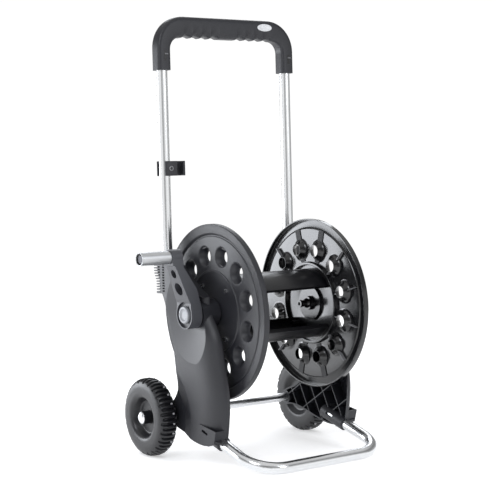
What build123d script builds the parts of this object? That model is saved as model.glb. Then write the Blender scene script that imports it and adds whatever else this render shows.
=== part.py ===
from build123d import *
import math
import os

# A two-wheeled cart that carries a garden hose on a reel.  Millimetres, +Z up, the foot bar
# towards -Y, the crank towards -X.  The origin is on the ground, under the middle of the cart's box.

# ---- driving sizes ----
cart_height = 864.0          # ground to the top of the grip
tube_r = 11.0                # uprights and foot bar
tube_wall = 1.5
upright_x = 150.3            # upright's axis from the middle of the reel
upright_back = 116.0         # uprights stand this far behind the reel's axis
reel_z = 288.0               # reel axis above the ground
flange_r = 170.0
drum_r = 69.5
wheel_r = 77.0
wheel_width = 40.0
axle_back = 130.0            # axle behind the reel's axis
axle_r = 9.0
axle_wall = 1.5
foot_reach = 176.6           # foot bar's front tube ahead of the reel's axis
foot_slope = 16.6            # degrees, the foot bar's legs rise towards the back
foot_bend = 60.0
crank_length = 111.0
crank_grip_length = 64.0
crank_grip_r = 12.7

# ---- clearances ----
fit_gap = 0.1                # radial, between pieces fixed to each other
run_gap = 0.06               # radial, a shaft that turns in its bore
face_gap = 0.3               # between faces that pass each other

# ---- side panels, measured from the middle of the reel outwards ----
panel_in = upright_x - 7.3
panel_depth = 27.0
panel_wall = 3.0
panel_nose = 62.0            # how far back the front edge's rounding reaches
rib_wall = 2.0
panel_out = panel_in + panel_depth
boss_r = 27.0                # reel boss
boss_out = panel_out - 8.0
socket_wall = 4.0
socket_bottom = reel_z + 33.0
socket_top = reel_z + 110.0
upright_seat = socket_bottom + 5.0
slot_pitch = 5.2
slot_height = 2.9
slot_count = 12
sleeve_wall = 3.5            # round sleeve on a leg of the foot bar
leg_end = -2.0               # foot bar's legs end this far behind the reel's axis
sleeve_front = -62.6
foot_box_out = panel_out + 2.0
foot_box_wall = 2.5
foot_box_length = 56.0
foot_box_floor = -9.5        # from the leg's axis
foot_box_top = 28.0
corner_cut = 5.0
axle_boss_r = 15.0
wheel_scoop = panel_out - 6.0
scoop_margin = 8.0
panel_below = 35.0           # the panel's lowest edge, below the axle

# ---- reel ----
reel_half = panel_in - 26.0  # middle of the reel to the inner face of a flange's web
web = 3.0
web_out = reel_half + web
boss_in = web_out + 3.0
flange_step = 2.0            # the outer band stands out from the web by this
rim_depth = 12.0
hole_count = 12
hole_ring = 110.0
dish_r = 20.5
hole_r = 11.0
dish_depth = 16.0            # how deep the cups are
cup_wall = 2.0
hub_ring_r = drum_r + 10.5   # clears the heads of the drum's screws
hub_plate_r = 34.0
hub_plate = 5.0
shaft_r = 14.0
water_bore = 7.0
drum_wall = 3.0
drum_gap_half = 37.0         # degrees, half of each opening between the shells
drum_turn = 3.7              # degrees, how far the openings are turned from level
drum_lip = 8.0
post_r = 5.6
screw_r = 2.0
screw_head_r = 4.2
screw_length = 14.0
rib_height = 6.0

# ---- crank ----
crank_in = boss_out + 3.0
crank_hub_r = 27.0
crank_hub_depth = 24.0
crank_lean = 32.0            # the arm leans outwards by this
crank_top_thick = 23.0
crank_top_in = crank_in + crank_lean
crank_top_out = crank_top_in + crank_top_thick
crank_hole_r = (8.0, 12.0)   # lightening holes, the outer and the inner one
knob_sink = 5.0              # the knob's seat is sunk in the hub
knob_rim = 2.5
crank_top_r = 15.0
flat_half = 11.0             # half the width over the shaft's flats
knob_r = 16.5
knob_thick = 7.0
knob_stem_r = 8.0
knob_teeth = 36
grip_pin_r = 5.0
crank_hub_out = crank_in + crank_hub_depth
knob_seat = crank_hub_out - knob_sink
crank_end = crank_top_out + face_gap + crank_grip_length

# ---- wheels ----
axle_z = wheel_r
wheel_in = panel_out + 2.0
wheel_out = wheel_in + wheel_width
lug_count = 24
lug_height = 6.0
lug_width = 9.0
dish_rim_r = 39.5
dish_floor_r = 33.0
wheel_dish = 18.0
wheel_bulge = 2.5            # the sidewall stands out from the dish's rim
bush_r = 13.0
cap_thick = 4.0
cart_side = wheel_out + face_gap + cap_thick

# ---- handle grip ----
grip_depth = 30.0
grip_side = 14.7             # half the width of a leg of the grip
bar_height = 42.0
grip_leg_bottom = cart_height - 106.0
grip_corner = 62.0
grip_inner_corner = 24.0
grip_round = 7.0
grip_over_tube = 8.0         # grip's material over a tube's end
hand_places = (-64.0, 66.0)  # middles of the two groups of finger waves
waves_per_hand = 4
tab_width = 12.0
tab_height = 20.0
tab_z = grip_leg_bottom + 28.0
badge_x = 95.0
badge_z = cart_height - 18.0
badge_half_width = 16.0
badge_half_height = 6.5
badge_thick = 1.2
wave_pitch = 22.0
wave_depth = 3.0
wave_r = 16.0

# ---- nozzle clip ----
clip_z = 566.0
clip_height = 29.0
clip_wall = 4.0
holder_r = 10.5
holder_x = upright_x - 31.0

# ---- water connectors ----
nipple_r = 8.5
nipple_neck_r = 6.5
nipple_length = 26.0

# ---- the cart's place over its origin ----
mid_x = (crank_end - cart_side) / 2
reel_y = (foot_reach + tube_r - axle_back - wheel_r) / 2
upright_y = reel_y + upright_back
axle_y = reel_y + axle_back
x_axis = Axis((mid_x, reel_y, reel_z), (1, 0, 0))
axle_line = Axis((mid_x, axle_y, axle_z), (1, 0, 0))
middle = Plane(origin=(mid_x, 0, 0), z_dir=(1, 0, 0))


def across(x, y=0.0, z=0.0):
    """Sheet square to the reel's axis: x from the cart's middle, its zero at y and z."""
    return Plane(origin=(mid_x + x, reel_y + y, z), x_dir=(0, 1, 0), z_dir=(1, 0, 0))


def facing(y, x=0.0, z=0.0):
    """Upright sheet that faces the front, y behind the reel's axis."""
    return Plane(origin=(mid_x + x, reel_y + y, z), x_dir=(1, 0, 0), z_dir=(0, -1, 0))


def level(z, x=0.0, y=0.0):
    """Level sheet at height z."""
    return Plane(origin=(mid_x + x, reel_y + y, z))


def ring(x0, x1, outer, inner=0.0, y=0.0, z=reel_z):
    """A round bar or sleeve along X from x0 to x1, about the line at y and z."""
    with BuildPart() as bar:
        with BuildSketch(across(x0, y, z)):
            Circle(outer)
            if inner:
                Circle(inner, mode=Mode.SUBTRACT)
        extrude(amount=x1 - x0)
    return bar.part


# ======== frame ========
with BuildPart() as upright_right:
    with BuildSketch(level(upright_seat, upright_x, upright_back)):
        Circle(tube_r)
        Circle(tube_r - tube_wall, mode=Mode.SUBTRACT)
    extrude(amount=cart_height - bar_height - grip_over_tube - upright_seat)

with BuildPart() as upright_left:
    mirror(upright_right.part, about=middle)

# Foot bar: a U bent flat, then tilted about its front tube.
leg_plane = Plane(
    origin=(mid_x, reel_y - foot_reach, tube_r),
    x_dir=(1, 0, 0),
    z_dir=(0, -math.sin(math.radians(foot_slope)), math.cos(math.radians(foot_slope))),
)
leg_length = (foot_reach + leg_end) / math.cos(math.radians(foot_slope))
leg_x = upright_x - 1.5
sleeve_start = (foot_reach + sleeve_front) / math.cos(math.radians(foot_slope))
foot_screw_at = sleeve_start + 25.0
sleeve_r = tube_r + fit_gap + sleeve_wall
with BuildPart() as foot_bar:
    with BuildLine(leg_plane) as foot_path:
        FilletPolyline(
            (-leg_x, leg_length),
            (-leg_x, 0),
            (leg_x, 0),
            (leg_x, leg_length),
            radius=foot_bend,
        )
    foot_start = foot_path.line @ 0
    with BuildSketch(Plane(origin=foot_start, z_dir=foot_path.line % 0)):
        Circle(tube_r)
        Circle(tube_r - tube_wall, mode=Mode.SUBTRACT)
    sweep()
    for leg in (-leg_x, leg_x):
        with BuildSketch(leg_plane.offset(-tube_r)):
            with Locations((leg, foot_screw_at)):
                Circle(screw_r + fit_gap)
        extrude(amount=tube_r, mode=Mode.SUBTRACT)


def leg_sheet(along):
    """Sheet square to the right leg of the foot bar, its zero on the leg's axis."""
    centre = leg_plane.from_local_coords(Vector(leg_x, along, 0))
    return Plane(origin=centre, x_dir=(1, 0, 0), z_dir=leg_plane.y_dir)


# ======== side panels ========
# Outline of a panel in side view: back from the reel's axis, height above the ground.
panel_front = (
    (-69.0, axle_z - 24.0),
    (-77.0, axle_z + 18.0),
    (-79.0, axle_z + 56.0),
    (-64.0, reel_z - 82.0),
    (-52.0, reel_z - 38.0),
    (-30.0, reel_z - 6.0),
    (-21.0, reel_z + 32.0),
)
panel_brow = ((12.0, reel_z + 52.0), (upright_back - tube_r - 13.0, socket_top))
panel_back = (
    (upright_back + tube_r + socket_wall, socket_bottom + 32.0),
    (upright_back - 9.0, socket_bottom),
    (93.0, reel_z + 4.0),
    (78.0, reel_z - 34.0),
    (69.0, reel_z - 84.0),
    (70.0, axle_z + 56.0),
    (88.0, axle_z + 34.0),
    (axle_back - 6.0, axle_z + 19.0),
    (axle_back + 15.0, axle_z + 2.0),
    (axle_back - 2.0, axle_z - 16.0),
)
panel_foot = ((12.0, axle_z - panel_below + 2.0), (-45.0, axle_z - panel_below))

panel_corner = ((upright_back + 9.0, socket_top),)
front_end = len(panel_front)
brow_end = front_end + len(panel_brow)
back_end = brow_end + 1 + len(panel_back)


def drawn_in(points, skin):
    """The closed outline's points, each moved inwards by skin, square to its two neighbours."""
    moved = []
    for index, point in enumerate(points):
        before = Vector(*points[index - 1])
        after = Vector(*points[(index + 1) % len(points)])
        run = (after - before).normalized()
        moved.append((point[0] + skin * run.Y, point[1] - skin * run.X))
    return moved


def panel_core(skin):
    """The panel's closed shape, drawn in by skin on every side but the open inner one."""
    depth = panel_depth - skin
    nose = panel_nose - skin
    points = drawn_in(panel_front + panel_brow + panel_corner + panel_back + panel_foot, skin)
    with BuildPart() as core:
        with BuildSketch(across(panel_in)):
            with BuildLine():
                Spline(*points[:front_end])
                Spline(*points[front_end - 1:brow_end])
                Line(points[brow_end - 1], points[brow_end])
                Spline(*points[brow_end:back_end])
                Spline(*points[back_end - 1:], points[0])
            make_face()
        extrude(amount=depth)
        # The front edge is rounded back over a quarter of an ellipse.
        with BuildLine(across(panel_in)) as edge:
            Spline(*points[:front_end])
        start = edge.line @ 0
        with BuildSketch(Plane(origin=start, x_dir=(1, 0, 0), z_dir=edge.line % 0)):
            with BuildLine():
                EllipticalCenterArc((0, nose), depth, nose, start_angle=270, arc_size=90)
                Polyline((depth, nose), (depth + 4, nose), (depth + 4, -8), (0, -8), (0, 0))
            make_face()
        sweep(path=edge.line, mode=Mode.SUBTRACT)
        # The lower front corner is blunted.
        with BuildSketch(across(panel_in)):
            with Locations(points[0]):
                Rectangle(corner_cut, corner_cut, rotation=45)
        extrude(amount=panel_depth, mode=Mode.SUBTRACT)
        # Room for the wheel, and for the crank to pass.
        with BuildSketch(facing(axle_back, 0, axle_z)):
            with BuildLine():
                Polyline(
                    (wheel_scoop - skin, 0),
                    (wheel_scoop - skin, wheel_r + scoop_margin),
                    (panel_out + 2, wheel_r + 6 * scoop_margin),
                    (panel_out + 2, 0),
                    close=True,
                )
            make_face()
        revolve(axis=axle_line, mode=Mode.SUBTRACT)
        with BuildSketch(facing(0, 0, reel_z)):
            with BuildLine():
                Polyline(
                    (boss_out - 3 - skin, 0),
                    (boss_out - 3 - skin, crank_hub_r + 4),
                    (panel_out - skin, crank_length - 16),
                    (panel_out + 2, crank_length - 16),
                    (panel_out + 2, 0),
                    close=True,
                )
            make_face()
        revolve(axis=x_axis, mode=Mode.SUBTRACT)
    return core.part


panel_solid = panel_core(0.0)
panel_cavity = panel_core(panel_wall)

# Ribs: two families of crossing walls, cut to the panel's shape.
with BuildPart() as panel_ribs:
    add(panel_solid)
    with BuildSketch(across(panel_in)):
        for step in range(-5, 4):
            with Locations(Location((0, axle_z + 28.0 - 54.0 * step), -32.0)):
                Rectangle(2 * flange_r, rib_wall)
        for step in range(-2, 6):
            with Locations(Location((24.0 + 36.0 * step, axle_z), 62.0)):
                Rectangle(4 * flange_r, rib_wall)
    extrude(amount=panel_depth, mode=Mode.INTERSECT)

with BuildPart() as tube_socket:
    # Ribbed filler between the upright and the panel's outer face, with the tube's sleeve inside.
    with BuildSketch(level(socket_bottom)):
        with Locations((upright_x, upright_back)):
            Circle(tube_r + socket_wall)
        with Locations((upright_x, upright_back - 2.0)):
            Rectangle(
                panel_out - upright_x, 2 * tube_r + socket_wall, align=(Align.MIN, Align.CENTER)
            )
    extrude(amount=socket_top - socket_bottom)

# Box outside the foot sleeve: three walls and a floor, open at the top.
foot_side = Plane(
    origin=leg_plane.from_local_coords(Vector(leg_x, 0, 0)), x_dir=leg_plane.y_dir, z_dir=(1, 0, 0)
)
with BuildPart() as foot_box:
    with BuildSketch(foot_side):
        with BuildLine():
            Polyline(
                (sleeve_start, foot_box_top),
                (sleeve_start, 2.0),
                (sleeve_start + 17.0, foot_box_floor),
                (sleeve_start + foot_box_length, foot_box_floor),
                (sleeve_start + foot_box_length, foot_box_top - 8.0),
                close=True,
            )
        make_face()
    extrude(amount=foot_box_out - leg_x)
    with BuildSketch(foot_side):
        with BuildLine():
            Polyline(
                (sleeve_start + foot_box_wall, foot_box_top + 4.0),
                (sleeve_start + foot_box_wall, 3.5),
                (sleeve_start + 18.0, foot_box_floor + foot_box_wall),
                (sleeve_start + foot_box_length - foot_box_wall, foot_box_floor + foot_box_wall),
                (sleeve_start + foot_box_length - foot_box_wall, foot_box_top + 4.0),
                close=True,
            )
        make_face()
    extrude(amount=foot_box_out - foot_box_wall - leg_x, mode=Mode.SUBTRACT)

with BuildPart() as panel_right:
    add(panel_solid)
    add(panel_cavity, mode=Mode.SUBTRACT)
    add(panel_ribs.part)
    add(tube_socket.part)
    add(ring(boss_in, boss_out, boss_r))
    add(ring(panel_in, wheel_scoop, axle_boss_r, y=axle_back, z=axle_z))
    add(foot_box.part)
    # Round sleeve on the leg, closed at its back end
    with BuildSketch(leg_sheet(sleeve_start)):
        Circle(sleeve_r)
    extrude(amount=leg_length - sleeve_start + 4.0)
    # Bores
    with BuildSketch(leg_sheet(sleeve_start - 20)):
        Circle(tube_r + fit_gap)
    extrude(amount=leg_length - sleeve_start + 20 + face_gap, mode=Mode.SUBTRACT)
    with BuildSketch(level(upright_seat, upright_x, upright_back)):
        Circle(tube_r + fit_gap)
    extrude(amount=cart_height, mode=Mode.SUBTRACT)
    with BuildSketch(across(boss_in, 0, reel_z)):
        Circle(shaft_r + run_gap)
    extrude(amount=cart_side, mode=Mode.SUBTRACT)
    with BuildSketch(across(boss_in, axle_back, axle_z)):
        Circle(axle_r + fit_gap)
    extrude(amount=cart_side, mode=Mode.SUBTRACT)
    # Slots between the socket's ribs
    slots_bottom = socket_bottom + 4.0
    with BuildSketch(across(panel_out)):
        for row in range(slot_count):
            slot_z = slots_bottom + row * slot_pitch
            with Locations((upright_back + 8.0, slot_z)):
                Rectangle(24, slot_height, align=(Align.CENTER, Align.MIN))
            with Locations((upright_back - 15.0, slot_z)):
                Rectangle(8, slot_height, align=(Align.CENTER, Align.MIN))
    extrude(amount=-(panel_out - upright_x - tube_r - 1.0), mode=Mode.SUBTRACT)
    # Windows on the tube, from outside and from inside
    with BuildSketch(foot_side):
        with Locations((sleeve_start + 34.0, 12.0)):
            SlotOverall(20, 5)
    extrude(amount=foot_box_out - leg_x, mode=Mode.SUBTRACT)
    with BuildSketch(foot_side):
        with Locations((sleeve_start + 40.0, 5.0)):
            SlotOverall(20, 6)
    extrude(amount=-2 * tube_r, mode=Mode.SUBTRACT)
    # Hole for the foot bar's screw
    with BuildSketch(leg_plane.offset(-sleeve_r - 6)):
        with Locations((leg_x, foot_screw_at)):
            Circle(screw_r + fit_gap)
    extrude(amount=sleeve_r + 6, mode=Mode.SUBTRACT)

with BuildPart() as panel_left:
    mirror(panel_right.part, about=middle)


# ======== uprights' and foot bar's fasteners ========
with BuildPart() as foot_screws:
    # Two screws from below, through the sleeves into the legs
    for leg in (-leg_x, leg_x):
        with BuildSketch(leg_plane.offset(-sleeve_r - 2.0)):
            with Locations((leg, foot_screw_at)):
                Circle(screw_head_r)
        extrude(amount=2.0)
        with BuildSketch(leg_plane.offset(-sleeve_r)):
            with Locations((leg, foot_screw_at)):
                Circle(screw_r)
        extrude(amount=sleeve_r - tube_r + tube_wall + 2.0)

# ======== axle ========
with BuildPart() as axle_tube:
    add(ring(-wheel_out, wheel_out, axle_r, axle_r - axle_wall, y=axle_back, z=axle_z))

with BuildPart() as axle_cap_right:
    # Push-on cap: a shallow dome outside and a stem in the tube's bore.
    with BuildSketch(facing(axle_back, 0, axle_z)):
        with BuildLine():
            Polyline(
                (wheel_out + face_gap, axle_r + 2.5),
                (wheel_out + face_gap, axle_r - axle_wall - fit_gap),
                (wheel_out - 14.0, axle_r - axle_wall - fit_gap),
                (wheel_out - 14.0, 0),
                (cart_side, 0),
            )
            ThreePointArc(
                (cart_side, 0),
                (cart_side - 1.0, 0.62 * (axle_r + 2.5)),
                (wheel_out + face_gap, axle_r + 2.5),
            )
        make_face()
    revolve(axis=axle_line)

with BuildPart() as axle_cap_left:
    mirror(axle_cap_right.part, about=middle)

with BuildPart() as axle_spacer_right:
    add(ring(wheel_scoop, wheel_in - face_gap, axle_boss_r, axle_r + fit_gap,
             y=axle_back, z=axle_z))

with BuildPart() as axle_spacer_left:
    mirror(axle_spacer_right.part, about=middle)

# ======== wheels ========
tread_r = wheel_r - lug_height
with BuildPart() as wheel_right:
    # Moulded wheel: barrel, a dished outer face, a web and a hub round the bush.
    with BuildSketch(facing(axle_back, 0, axle_z)):
        with BuildLine():
            Polyline(
                (wheel_in, bush_r + fit_gap),
                (wheel_out - wheel_dish, bush_r + fit_gap),
                (wheel_out - wheel_dish, dish_floor_r),
                (wheel_out - wheel_bulge, dish_rim_r),
                (wheel_out, dish_rim_r + 7.0),
                (wheel_out, tread_r - 13.0),
                (wheel_out - 10.0, tread_r),
                (wheel_in + 10.0, tread_r),
                (wheel_in, tread_r - 13.0),
                (wheel_in, dish_rim_r),
                (wheel_in + 8.0, dish_floor_r),
                (wheel_in + 8.0, bush_r + 5.0),
                (wheel_in, bush_r + 5.0),
                close=True,
            )
        make_face()
    revolve(axis=axle_line)
    # Lugs, square in plan, wrapping over both shoulders
    with BuildSketch(facing(axle_back - lug_width / 2, 0, axle_z)):
        with BuildLine():
            Polyline(
                (wheel_in, tread_r - 14.0),
                (wheel_in, wheel_r - 12.0),
                (wheel_in + 8.0, wheel_r),
                (wheel_out - 8.0, wheel_r),
                (wheel_out, wheel_r - 12.0),
                (wheel_out, tread_r - 14.0),
                close=True,
            )
        make_face()
    lug = extrude(amount=-lug_width, mode=Mode.PRIVATE)
    for step in range(lug_count):
        add(lug.rotate(axle_line, 360 * step / lug_count))

with BuildPart() as wheel_left:
    mirror(wheel_right.part, about=middle)

with BuildPart() as wheel_bush_right:
    add(ring(wheel_in, wheel_out - face_gap, bush_r, axle_r + run_gap, y=axle_back, z=axle_z))

with BuildPart() as wheel_bush_left:
    mirror(wheel_bush_right.part, about=middle)

# ======== handle grip ========
bar_bottom = cart_height - bar_height
with BuildPart() as handle_grip:
    grip_front = upright_back - grip_depth / 2
    with BuildSketch(facing(grip_front)) as grip_shape:
        with Locations((0, (cart_height + grip_leg_bottom) / 2)):
            Rectangle(2 * (upright_x + grip_side), cart_height - grip_leg_bottom)
        fillet(grip_shape.vertices().group_by(Axis.Y)[-1], grip_corner)
        with BuildLine():
            inner_side = upright_x - grip_side
            FilletPolyline(
                (-inner_side, grip_leg_bottom),
                (-inner_side, bar_bottom),
                (inner_side, bar_bottom),
                (inner_side, grip_leg_bottom),
                radius=grip_inner_corner,
            )
            Line((inner_side, grip_leg_bottom), (-inner_side, grip_leg_bottom))
        make_face(mode=Mode.SUBTRACT)
    extrude(amount=-grip_depth)
    long_edges = handle_grip.edges().filter_by(
        lambda edge: abs(edge.center().Y - upright_y) > grip_depth / 2 - 0.1
        and edge.center().Z > grip_leg_bottom + 1
    )
    fillet(long_edges, grip_round)
    # Finger waves under the bar, four for each hand
    with BuildSketch(facing(grip_front - 1)):
        for hand in hand_places:
            for wave in range(waves_per_hand):
                wave_x = hand + (wave - (waves_per_hand - 1) / 2) * wave_pitch
                with Locations((wave_x, bar_bottom + wave_depth - wave_r)):
                    Circle(wave_r)
    extrude(amount=-grip_depth - 2, mode=Mode.SUBTRACT)
    # Sockets for the uprights, and the windows of the snap tabs
    for side in (-upright_x, upright_x):
        with BuildSketch(level(grip_leg_bottom, side, upright_back)):
            Circle(tube_r + fit_gap)
        socket_depth = bar_bottom - grip_over_tube + fit_gap - grip_leg_bottom
        extrude(amount=socket_depth, mode=Mode.SUBTRACT)
        with BuildSketch(facing(grip_front, side, tab_z)):
            Rectangle(tab_width, tab_height)
        extrude(amount=-grip_depth / 2 + tube_r, mode=Mode.SUBTRACT)


def snap_tab(side):
    """Tab that locks a leg of the grip on its upright, in its window in the leg's front."""
    with BuildPart() as tab:
        with BuildSketch(facing(grip_front, side, tab_z)):
            Rectangle(tab_width - 2 * face_gap, tab_height - 2 * face_gap)
        extrude(amount=-grip_depth / 2 + tube_r + fit_gap)
    return tab.part


with BuildPart() as grip_tab_left:
    add(snap_tab(-upright_x))

with BuildPart() as grip_tab_right:
    add(snap_tab(upright_x))

with BuildPart() as grip_badge:
    with BuildSketch(facing(grip_front, badge_x, badge_z)):
        Ellipse(badge_half_width, badge_half_height)
    extrude(amount=badge_thick)
    fillet(grip_badge.faces().sort_by(Axis.Y)[0].edges(), badge_thick / 2)

# ======== nozzle clip ========
with BuildPart() as nozzle_clip:
    # A split band round the left upright, a bridge, and a cup that is open to the front.
    with BuildSketch(level(clip_z - clip_height / 2, 0, upright_back)):
        with Locations((-upright_x, 0)):
            Circle(tube_r + clip_wall)
        with Locations((-upright_x + tube_r + 4.0, 0)):
            Rectangle(16, 14)
        with Locations((-holder_x, 0)):
            Circle(holder_r + clip_wall)
        with Locations((-upright_x, 0)):
            Circle(tube_r + run_gap, mode=Mode.SUBTRACT)
        with Locations((-holder_x, 0)):
            Circle(holder_r, mode=Mode.SUBTRACT)
        with Locations((-holder_x, -holder_r)):
            Rectangle(1.5 * holder_r, 2 * holder_r, mode=Mode.SUBTRACT)
    extrude(amount=clip_height)

# ======== reel ========
with BuildPart() as flange_right:
    # Web with a hub ring outside, then the outer band and its deep rim.
    band_in = 0.88 * flange_r
    with BuildSketch(facing(0, 0, reel_z)):
        with BuildLine():
            Polyline(
                (reel_half, shaft_r + fit_gap),
                (web_out, shaft_r + fit_gap),
                (web_out, hub_ring_r - 2.0),
                (web_out + 1.5, hub_ring_r - 1.0),
                (web_out + 1.5, hub_ring_r + 1.0),
                (web_out, hub_ring_r + 2.0),
                (web_out, band_in),
                (web_out + flange_step, band_in + 2.0),
                (web_out + flange_step + 3.0, flange_r),
                (web_out + flange_step + 3.0 - rim_depth, flange_r),
                (web_out + flange_step + 3.0 - rim_depth, flange_r - 2.5),
                (web_out + flange_step, flange_r - 2.5),
                (reel_half + flange_step, band_in + 2.0),
                (reel_half, band_in),
                close=True,
            )
        make_face()
    revolve(axis=x_axis)
    # Dished holes: a cup that narrows inwards to the hole
    cup_plane = Plane(
        origin=(mid_x + web_out - dish_depth, reel_y, reel_z),
        x_dir=(0, 1, 0),
        z_dir=(1, 0, 0),
    )
    with Locations(cup_plane):
        with PolarLocations(hole_ring, hole_count, start_angle=180 / hole_count):
            Cone(
                hole_r + cup_wall,
                dish_r + cup_wall,
                dish_depth,
                align=(Align.CENTER, Align.CENTER, Align.MIN),
            )
        with PolarLocations(hole_ring, hole_count, start_angle=180 / hole_count):
            Cone(
                hole_r,
                dish_r,
                dish_depth,
                align=(Align.CENTER, Align.CENTER, Align.MIN),
                mode=Mode.SUBTRACT,
            )
    # Radial ribs on the inner face, between the drum and the rim
    with BuildSketch(across(reel_half - rib_height, 0, reel_z)):
        with PolarLocations(drum_r + 3.0, hole_count):
            Rectangle(band_in - drum_r - 4.0, rib_wall, align=(Align.MIN, Align.CENTER))
    extrude(amount=rib_height)
    # Holes for the drum's screws
    screw_angles = [
        drum_turn + turn + side * (drum_gap_half + 12.0)
        for turn in (0, 180)
        for side in (-1, 1)
    ]
    post_ring = drum_r - drum_wall - post_r + 0.6
    with BuildSketch(across(reel_half, 0, reel_z)):
        for angle in screw_angles:
            with PolarLocations(post_ring, 1, start_angle=angle):
                Circle(screw_r + fit_gap)
    extrude(amount=web, mode=Mode.SUBTRACT)

with BuildPart() as flange_left:
    mirror(flange_right.part, about=middle)


def drum_shell(turn):
    """Half of the drum's core: an arc of tube with turned-in edges and four screw posts."""
    half = 90 - drum_gap_half
    with BuildPart() as shell:
        with BuildSketch(across(-reel_half, 0, reel_z)):
            with BuildLine():
                CenterArc((0, 0), drum_r, drum_turn + turn - half, 2 * half)
                CenterArc((0, 0), drum_r - drum_wall, drum_turn + turn - half, 2 * half)
                for end in (-half, half):
                    spoke = math.radians(drum_turn + turn + end)
                    Line(
                        (drum_r * math.cos(spoke), drum_r * math.sin(spoke)),
                        (
                            (drum_r - drum_wall) * math.cos(spoke),
                            (drum_r - drum_wall) * math.sin(spoke),
                        ),
                    )
            make_face()
            for end in (-half + 1.2, half - 1.2):
                with PolarLocations(drum_r - drum_lip - 1.0, 1, start_angle=drum_turn + turn + end):
                    Rectangle(drum_lip, drum_wall, align=(Align.MIN, Align.CENTER))
        extrude(amount=2 * reel_half)
        for x0 in (-reel_half, reel_half - screw_length - 4.0):
            with BuildSketch(across(x0, 0, reel_z)):
                for end in (12.0 - half, half - 12.0):
                    with PolarLocations(post_ring, 1, start_angle=drum_turn + turn + end):
                        Circle(post_r)
                        Circle(screw_r, mode=Mode.SUBTRACT)
            extrude(amount=screw_length + 4.0)
    return shell.part


with BuildPart() as drum_shell_top:
    add(drum_shell(90.0))

with BuildPart() as drum_shell_bottom:
    add(drum_shell(270.0))


def drum_screws(side):
    """Four screws through one flange's web into the shells' posts."""
    with BuildPart() as screws:
        for angle in screw_angles:
            spoke = math.radians(angle)
            across_y = post_ring * math.cos(spoke)
            up_z = reel_z + post_ring * math.sin(spoke)
            with BuildSketch(across(side * web_out, across_y, up_z)):
                Circle(screw_head_r)
            extrude(amount=side * 2.4)
            with BuildSketch(across(side * web_out, across_y, up_z)):
                Circle(screw_r - fit_gap)
            extrude(amount=-side * screw_length)
    return screws.part


with BuildPart() as drum_screws_left:
    add(drum_screws(-1))

with BuildPart() as drum_screws_right:
    add(drum_screws(1))

# ---- left stub shaft: plate inside the flange, journal in the panel's boss, flats for the crank ----
with BuildPart() as stub_shaft:
    add(ring(-reel_half, -reel_half + hub_plate, hub_plate_r))
    add(ring(-knob_seat + 1.0, -reel_half, shaft_r))
    with BuildSketch(across(-crank_in + 1.0, 0, reel_z)):
        Circle(shaft_r + 1)
        Rectangle(2 * shaft_r + 4, 2 * flat_half, mode=Mode.SUBTRACT)
    extrude(amount=-crank_hub_depth, mode=Mode.SUBTRACT)
    with BuildSketch(across(-crank_in, 0, reel_z)):
        Circle(knob_stem_r + run_gap)
    extrude(amount=-crank_hub_depth, mode=Mode.SUBTRACT)

# ---- right water shaft: a hollow journal that the inlet feeds ----
with BuildPart() as water_shaft:
    add(ring(reel_half - hub_plate, reel_half, hub_plate_r, water_bore))
    add(ring(reel_half, boss_out - 4.0, shaft_r, water_bore))

with BuildPart() as drum_connector:
    # Snap nipple for the hose, screwed to the water shaft inside the drum.
    with BuildSketch(facing(0, 0, reel_z)):
        with BuildLine():
            Polyline(
                (reel_half - hub_plate, 3.5),
                (reel_half - hub_plate, 14.0),
                (reel_half - hub_plate - 7.0, 14.0),
                (reel_half - hub_plate - 7.0, nipple_r + 1.5),
                (reel_half - hub_plate - 11.0, nipple_r),
                (reel_half - hub_plate - 16.0, nipple_r),
                (reel_half - hub_plate - 16.0, nipple_neck_r),
                (reel_half - hub_plate - 20.0, nipple_neck_r),
                (reel_half - hub_plate - 21.0, nipple_r - 1.0),
                (reel_half - hub_plate - nipple_length, nipple_r - 1.0),
                (reel_half - hub_plate - nipple_length, 3.5),
                close=True,
            )
        make_face()
    revolve(axis=x_axis)

# ---- inlet: fixed to the right panel, its stem runs inside the water shaft ----
inlet_seat = boss_out
with BuildPart() as inlet_fitting:
    with BuildSketch(facing(0, 0, reel_z)):
        with BuildLine():
            Polyline(
                (inlet_seat - 34.0, 3.5),
                (inlet_seat - 34.0, water_bore - run_gap),
                (inlet_seat - 26.0, water_bore - run_gap),
                (inlet_seat - 26.0, water_bore - 1.8),
                (inlet_seat - 23.4, water_bore - 1.8),
                (inlet_seat - 23.4, water_bore - run_gap),
                (inlet_seat - 18.0, water_bore - run_gap),
                (inlet_seat - 18.0, water_bore - 1.8),
                (inlet_seat - 15.4, water_bore - 1.8),
                (inlet_seat - 15.4, water_bore - run_gap),
                (inlet_seat, water_bore - run_gap),
                (inlet_seat, 20.0),
                (inlet_seat + 5.0, 20.0),
                (inlet_seat + 5.0, 13.0),
                (inlet_seat + 14.0, 13.0),
                (inlet_seat + 14.0, nipple_r + 1.5),
                (inlet_seat + 18.0, nipple_r),
                (inlet_seat + 26.0, nipple_r),
                (inlet_seat + 26.0, nipple_neck_r),
                (inlet_seat + 30.0, nipple_neck_r),
                (inlet_seat + 31.0, nipple_r - 1.0),
                (inlet_seat + 16.0 + nipple_length, nipple_r - 1.0),
                (inlet_seat + 16.0 + nipple_length, 3.5),
                close=True,
            )
        make_face()
    revolve(axis=x_axis)

with BuildPart() as inlet_o_rings:
    for groove in (inlet_seat - 24.7, inlet_seat - 16.7):
        add(ring(groove - 0.8, groove + 0.8, water_bore - run_gap, water_bore - 1.8 + run_gap))

with BuildPart() as inlet_screws:
    for angle in (45, 135, 225, 315):
        spoke = math.radians(angle)
        sheet = across(inlet_seat, 16.5 * math.cos(spoke), reel_z + 16.5 * math.sin(spoke))
        with BuildSketch(sheet.offset(5.0)):
            Circle(3.0)
        extrude(amount=2.0)

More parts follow.
